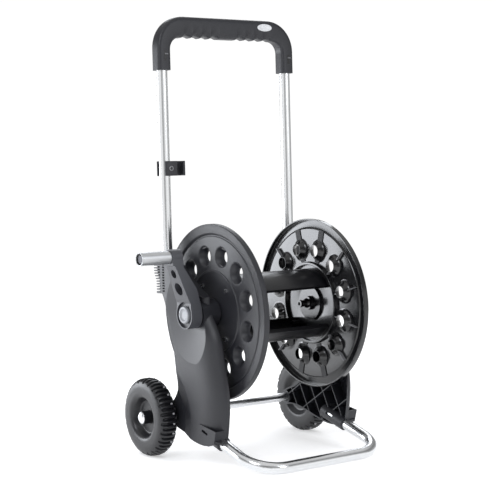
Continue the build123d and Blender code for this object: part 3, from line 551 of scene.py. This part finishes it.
def softened(corners, radius, steps=5, closed=False):
    """A line of points whose corners are cut back by radius and bridged by a parabola's arc:
    with t from 0 to 1, the arc is (1 - t) squared times its first point, plus twice t times
    (1 - t) times the corner, plus t squared times its last point."""
    points = np.asarray(corners, float)
    back = np.roll(points, 1, axis=0) - points
    on = np.roll(points, -1, axis=0) - points
    back_length = np.linalg.norm(back, axis=1, keepdims=True)
    on_length = np.linalg.norm(on, axis=1, keepdims=True)
    cut = np.broadcast_to(np.asarray(radius, float).reshape(-1, 1), back_length.shape)
    first = points + back / back_length * np.minimum(cut, 0.48 * back_length)
    last = points + on / on_length * np.minimum(cut, 0.48 * on_length)
    if not closed:
        first[[0, -1]] = points[[0, -1]]
        last[[0, -1]] = points[[0, -1]]
    t = np.linspace(0, 1, steps)[None, :, None]
    arcs = ((1 - t) ** 2 * first[:, None] + 2 * t * (1 - t) * points[:, None]
            + t ** 2 * last[:, None])
    return arcs.reshape(-1, points.shape[1])


def turned(profile, centre, turns=96):
    """A profile of (x, radius) carried round the X axis through centre:
    y is radius times cosine, z is radius times sine."""
    angle = np.linspace(0, 2 * np.pi, turns, endpoint=False)[None, :]
    along, radius = profile[:, :1], profile[:, 1:2]
    return np.stack([
        centre[0] + along + 0 * angle,
        centre[1] + radius * np.cos(angle),
        centre[2] + radius * np.sin(angle),
    ], axis=-1)


wheel_black = moulded("wheel_black_moulding", (0.007, 0.0072, 0.009), (0.012, 0.0122, 0.015),
                      0.36, 700, 0.2)
# The nubs' pale grey is a painted glint.
nub_painted_glint = moulded("wheel_nub_painted_glint", (0.34, 0.34, 0.36), (0.46, 0.46, 0.48), 0.3, 700, 0.2)
groove_count, groove_depth, groove_share, groove_steps = 48, 0.0052, 0.21, 14
groove_long, groove_short, groove_fade = 0.0680, 0.0712, 0.0045
nub_r, nub_ring, nub_in = 0.0019, 0.0752, 0.0115
nub_ball = turned(softened([(-nub_r, 0.0), (-nub_r, nub_r), (nub_r, nub_r), (nub_r, 0.0)],
                           0.0014, 4), (0, 0, 0), 12)
for side, node, body in ((-1, "wheel_left", "left_wheel"), (1, "wheel_right", "right_wheel")):
    low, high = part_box(node)
    hub = ((low.x + high.x) / 2, (low.y + high.y) / 2, (low.z + high.z) / 2)
    half, radius = (high.x - low.x) / 2, (high.z - low.z) / 2
    # Section of the moulding as (x, radius): bore, inner dish, tread, outer dish and hub.
    outline = softened(
        [(-half + 0.001, 0.0132), (half - 0.018, 0.0132), (half - 0.018, 0.033),
         (half - 0.004, 0.0395), (half - 0.0003, 0.045), (half - 0.0003, 0.062),
         (half - 0.0035, radius - 0.0055), (half - 0.0115, radius - 0.0003), (0, radius),
         (-half + 0.0115, radius), (-half + 0.0030, radius - 0.0045), (-half + 0.0006, 0.062),
         (-half + 0.0005, 0.044), (-half + 0.004, 0.0395), (-half + 0.010, 0.033),
         (-half + 0.010, 0.018), (-half + 0.001, 0.018)],
        [0.0003, 0.0006, 0.003, 0.004, 0.006, 0.006, 0.006, 0.006, 0.006, 0.005, 0.003, 0.006,
         0.006, 0.004, 0.003, 0.002, 0.001], steps=10, closed=True)
    outline = np.concatenate([outline, outline[:1]])
    grid = turned(outline * (side, 1), hub, groove_count * groove_steps)
    # A groove is deepest mid-way through its share of the turn and fades in along the radius.
    column = np.arange(groove_count * groove_steps)
    share = (column / groove_steps) % 1
    number = (column // groove_steps) % 2
    wall = np.clip(1.6 - np.abs(share - 0.5) / groove_share, 0, 1)[None, :]
    start = np.where(number == 0, groove_long, groove_short)[None, :]
    taper = np.clip((outline[:, 1:] - start) / groove_fade, 0, 1)
    taper = taper * taper * (3 - 2 * taper)
    sunk = groove_depth * wall * taper
    flat = grid[..., 1:] - np.asarray(hub[1:])
    run = np.linalg.norm(flat, axis=-1)
    grid[..., 1:] -= flat * (sunk / run)[..., None]
    made = piece("wheel_moulding_" + body, body, wheel_black, "wheel_plastic", grid, crease=40)
    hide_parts(node)
    # Small rounded nubs on the inner shoulder, at the end of every second groove, pale grey as
    # painted glints.
    nubs = []
    for step in range(0, groove_count, 2):
        angle = 2 * math.pi * (step + 0.5) / groove_count
        nubs.append(nub_ball + (hub[0] - side * (half - nub_in),
                                hub[1] + nub_ring * math.cos(angle),
                                hub[2] + nub_ring * math.sin(angle)))
    piece("wheel_nubs_" + body, body, nub_painted_glint, "wheel_plastic", *nubs)
finish_node(wheel_black, "wheel_plastic", "wheel_bush_left", "wheel_bush_right",
            "axle_spacer_left", "axle_spacer_right")

# ---- reel flanges ----
# Two round mouldings of glossy black polypropylene, the crank side's one spark-textured outside.
# Each has twelve smooth cups, pierced at the bottom, thin ribs that run out through the cups, and
# an outer band that stands forward and turns back at the rim.
gloss_black = moulded("gloss_black_moulding", (0.004, 0.004, 0.005), (0.007, 0.007, 0.008),
                      0.2, 500, 0.05, coat=0.35)
# The right flange's ribs are pale grey as painted highlights on their edges.
rib_painted_highlight = moulded("rib_edge_painted_highlight", (0.16, 0.16, 0.17), (0.22, 0.22, 0.23), 0.3, 500, 0.1)
dull_black = moulded("dull_pad_skin", (0.003, 0.003, 0.004), (0.005, 0.005, 0.006), 0.6, 500, 0.2)
cup_count, cup_ring, cup_r, cup_hole_r, cup_deep = 12, 0.110, 0.0205, 0.0112, 0.016
cell_in, cell_out, edge_steps, fade_steps = 0.0855, 0.1345, 24, 7
face_back, sheet_thick = 0.005, 0.003


def flange_sheets(node, side):
    """A flange as closed sheets: an inner and an outer ring turned from profiles, and between
    them a cell for each cup, whose rows run from the cell's edge over the cup's wall, through
    its hole and back along the far face. x is the face's place plus side times height."""
    low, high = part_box(node)
    face = high.x - face_back if side > 0 else low.x + face_back
    centre = np.array([(low.y + high.y) / 2, (low.z + high.z) / 2])
    radius = (high.z - low.z) / 2
    columns = cup_count * edge_steps

    def ringed(profile):
        """A profile of (height, radius) turned about the flange's own axis."""
        sheet = turned(profile, (0, *centre), columns)
        sheet[..., 0] = face + side * profile[:, :1]
        return sheet

    hub = softened([(0, cell_in), (0, 0.082), (0.0015, 0.081), (0.0015, 0.079), (0, 0.078),
                    (0, 0.0141), (-sheet_thick, 0.0141), (-sheet_thick, cell_in)],
                   [0, 0.001, 0.0006, 0.0006, 0.001, 0.0006, 0.0006, 0], steps=4)
    band = 0.88 * radius
    rim = softened([(0, cell_out), (0, band - 0.004), (-0.0012, band - 0.003),
                    (-0.0012, band - 0.001), (0.002, band + 0.002), (0.0038, radius - 0.004),
                    (0.0048, radius - 0.0002), (-0.007, radius), (-0.007, radius - 0.0025),
                    (0.002, radius - 0.0026), (-0.001, band + 0.002), (-sheet_thick, band),
                    (-sheet_thick, cell_out)],
                   [0, 0.001, 0.0005, 0.0005, 0.002, 0.003, 0.003, 0.0006, 0.0006, 0.001, 0.002,
                    0.001, 0], steps=5)
    sheets = [ringed(hub), ringed(rim)]

    edge = np.linspace(-1, 1, edge_steps + 1)[:-1]
    ones = np.ones(edge_steps)
    half = np.pi / cup_count
    middle, reach = (cell_in + cell_out) / 2, (cell_out - cell_in) / 2
    loop_r = np.concatenate([cell_in * ones, middle + reach * edge, cell_out * ones,
                             middle - reach * edge])
    loop_t = half * np.concatenate([edge, ones, -edge, -ones])
    # A cup as (height, radius): over its lip, down its wall, through the hole and back outside.
    bowl = softened([(0.0, cup_r + 0.0012), (-0.0006, cup_r - 0.0008), (-0.0045, 0.0165),
                     (-0.0095, 0.0133), (-cup_deep + 0.0012, cup_hole_r + 0.0004),
                     (-cup_deep, cup_hole_r), (-cup_deep - 0.0001, cup_hole_r + 0.0013),
                     (-cup_deep + 0.0012, cup_hole_r + 0.0019), (-0.0095, 0.0154),
                     (-0.0050, 0.0188), (-sheet_thick, cup_r + 0.003)],
                    [0, 0.0012, 0.004, 0.004, 0.001, 0.0006, 0.0006, 0.001, 0.004, 0.003, 0],
                    steps=5)
    fade = np.linspace(0, 1, fade_steps)[:, None, None]
    for step in range(cup_count):
        angle = half * (2 * step + 1)
        loop = loop_r[:, None] * np.stack([np.cos(loop_t + angle), np.sin(loop_t + angle)], axis=1)
        cup = cup_ring * np.array([math.cos(angle), math.sin(angle)])
        aim = loop - cup
        aim /= np.linalg.norm(aim, axis=1, keepdims=True)
        wall = cup + bowl[:, 1, None, None] * aim
        near = (1 - fade) * loop + fade * wall[0]
        far = fade * loop + (1 - fade) * wall[-1]
        flat = np.concatenate([near[:-1], wall, far[1:]])
        heights = np.concatenate([np.zeros(fade_steps - 1), bowl[:, 0],
                                  np.full(fade_steps - 1, -sheet_thick)])
        place = face + side * heights[:, None] + 0 * flat[..., 0]
        sheets.append(np.concatenate([place[..., None], centre + flat], axis=-1))
    return sheets, face, centre


sunk_foot = 0.0028
rib_angles, rib_runs = (15, 45, 135, 165, 195, 225, 315, 345), ((0.085, 0.0925), (0.1275, 0.150))
rib_wide, rib_tall = 0.0012, 0.007
pad_angles, pad_runs = (75, 105, 255, 285), ((0.0845, 0.094), (0.126, 0.152))
pad_wide, pad_tall = (0.013, 0.015), 0.0015


def bar(start, end, across, deep, face, side):
    """A bar on a flange's far face between two places, as wide as across and as tall as deep: a
    box whose two ends are closed on their middles."""
    start, end = np.asarray(start), np.asarray(end)
    run = (end - start) / np.linalg.norm(end - start)
    beside = across / 2 * np.array([-run[1], run[0]])
    corners = np.array([start + beside, start - beside, end - beside, end + beside])
    middle = corners.mean(axis=0) + 0 * corners
    rows = [middle, corners, corners, middle]
    heights = (-sunk_foot, -sunk_foot, -sheet_thick - deep, -sheet_thick - deep)
    return np.stack([np.concatenate([np.full((4, 1), face + side * h), row], axis=1)
                     for h, row in zip(heights, rows)])


def spoke_at(degrees):
    """The way out from the flange's middle at an angle: (cosine, sine)."""
    return np.array([math.cos(math.radians(degrees)), math.sin(math.radians(degrees))])


for side, node, skin, slot_name in ((-1, "flange_left", charcoal, "charcoal_plastic"),
                                    (1, "flange_right", gloss_black, "black_plastic")):
    sheets, face, centre = flange_sheets(node, side)
    made = piece("moulding_" + node, "reel", skin, slot_name, *sheets, crease=42)
    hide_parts(node)
    ribs, pads = [], []
    for spoke in map(spoke_at, rib_angles):
        for start, end in rib_runs:
            ribs.append(bar(centre + start * spoke, centre + end * spoke, rib_wide, rib_tall,
                            face, side))
    for spoke in map(spoke_at, pad_angles):
        for (start, end), wide in zip(pad_runs, pad_wide):
            pads.append(bar(centre + start * spoke, centre + end * spoke, wide, pad_tall,
                            face, side))
    # On the right flange the ribs are pale grey as painted highlights.
    piece("ribs_" + node, "reel", rib_painted_highlight if side > 0 else skin, slot_name, *ribs)
    piece("pads_" + node, "reel", dull_black if side > 0 else skin, slot_name, *pads)
    # Collar that the drum's shells stand in, as (height, radius).
    collar = softened([(-sunk_foot, 0.076), (-0.0105, 0.077), (-0.0105, 0.082),
                       (-sunk_foot, 0.0835)], 0.001, 5)
    sheet = turned(collar, (0, *centre), 144)
    sheet[..., 0] = face + side * collar[:, :1]
    piece("collar_" + node, "reel", skin, slot_name, sheet)

# ---- drum ----
# Two curved shells of black polypropylene between the flanges, with turned-in edges and posts
# for the screws. Inside are the shafts' plates and the hose's snap nipple.
drum_black = moulded("drum_black_moulding", (0.004, 0.004, 0.005), (0.007, 0.007, 0.009),
                     0.3, 500, 0.12)
finish_node(drum_black, "black_plastic", "drum_shell_top", "drum_shell_bottom")
finish_node(gloss_black, "black_plastic", "stub_shaft", "water_shaft", "drum_connector")
finish_node(zinc, "steel", "drum_screws_left", "drum_screws_right")

# ---- water inlet ----
# The nipple that the supply hose snaps on, fixed to the right panel's boss with four screws. Its
# stem seals in the reel's hollow shaft with two rings.
finish_node(gloss_black, "black_plastic", "inlet_fitting")
finish_node(zinc, "steel", "inlet_screws")
seal_black = moulded("nitrile_rubber", (0.012, 0.012, 0.012), (0.018, 0.018, 0.018), 0.6, 800, 0.1)
finish_node(seal_black, "rubber", "inlet_o_rings")

# ---- crank ----
# A leaning charcoal arm with two lightening holes on the reel's left shaft. A pale serrated knob
# is sunk in its hub, and an aluminium sleeve turns on a steel pin at its tip.
# The arm's charcoal is painted a lighter grey than the other mouldings, as painted light on its
# lit face.
arm_painted_light = moulded("arm_charcoal_painted_light", (0.045, 0.046, 0.054), (0.060, 0.062, 0.071),
                   0.4, 900, 0.25)
finish_node(arm_painted_light, "charcoal_plastic", "crank_arm")
knob_low, knob_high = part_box("crank_knob")
knob_mid = np.array([(knob_low.y + knob_high.y) / 2, (knob_low.z + knob_high.z) / 2])
knob_r = (knob_high.z - knob_low.z) / 2
knob_long = knob_high.x - knob_low.x
stem_r, tooth_count, tooth_steps, tooth_share = 0.008, 36, 8, 0.035
# The knob as (x, radius): its sunk face, its rounded edge, its back and its stem.
knob_rows = softened([(0.0026, 0.0), (0.0026, 0.0085), (0.0010, 0.0112), (0.0, 0.0125),
                      (0.0004, knob_r - 0.0008), (0.0016, knob_r), (0.0066, knob_r),
                      (0.0070, knob_r - 0.0008), (0.0070, stem_r), (knob_long, stem_r),
                      (knob_long, 0.0)], 0.0008, 5)
knob = turned(knob_rows, (knob_low.x, *knob_mid), tooth_count * tooth_steps)
# Teeth: the radius shrinks by a cosine of the turn, but only near the knob's edge.
wave = np.cos(np.arange(tooth_count * tooth_steps) * 2 * np.pi / tooth_steps)[None, :]
grown = np.clip((knob_rows[:, 1:] - (knob_r - 0.0025)) / 0.002, 0, 1)
knob[..., 1:] = knob_mid + (knob[..., 1:] - knob_mid) * (
    1 - tooth_share * grown * (0.5 + 0.5 * wave))[..., None]
knob_grey = moulded("knob_grey_moulding", (0.27, 0.28, 0.30), (0.34, 0.35, 0.37), 0.35, 700, 0.15)
knob_piece = piece("knob_moulding", "knob", knob_grey, "light_plastic", knob, crease=35)
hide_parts("crank_knob")

handle_low, handle_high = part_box("crank_handle")
handle_r = (handle_high.z - handle_low.z) / 2
handle_run = np.linspace(handle_low.x + bar_lip, handle_high.x - bar_lip, 12)
handle_path = np.stack([handle_run, 0 * handle_run + (handle_low.y + handle_high.y) / 2,
                        0 * handle_run + (handle_low.z + handle_high.z) / 2], axis=1)
handle_metal = drawn_metal("drawn_aluminium_handle", (0.50, 0.51, 0.52), (0.64, 0.65, 0.66),
                           0.36, (0.06, 6.0, 6.0))
handle_piece = piece("tube_crank_handle", "crank_grip", handle_metal, "aluminium",
                     tube(handle_path, (0, 1, 0), handle_r, handle_r - tube_wall))
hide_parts("crank_handle")
finish_node(gloss_black, "black_plastic", "crank_handle_core")
blued = drawn_metal("blued_steel", (0.03, 0.03, 0.035), (0.06, 0.06, 0.065), 0.4, (0.1, 6.0, 6.0))
finish_node(blued, "steel", "grip_pin")
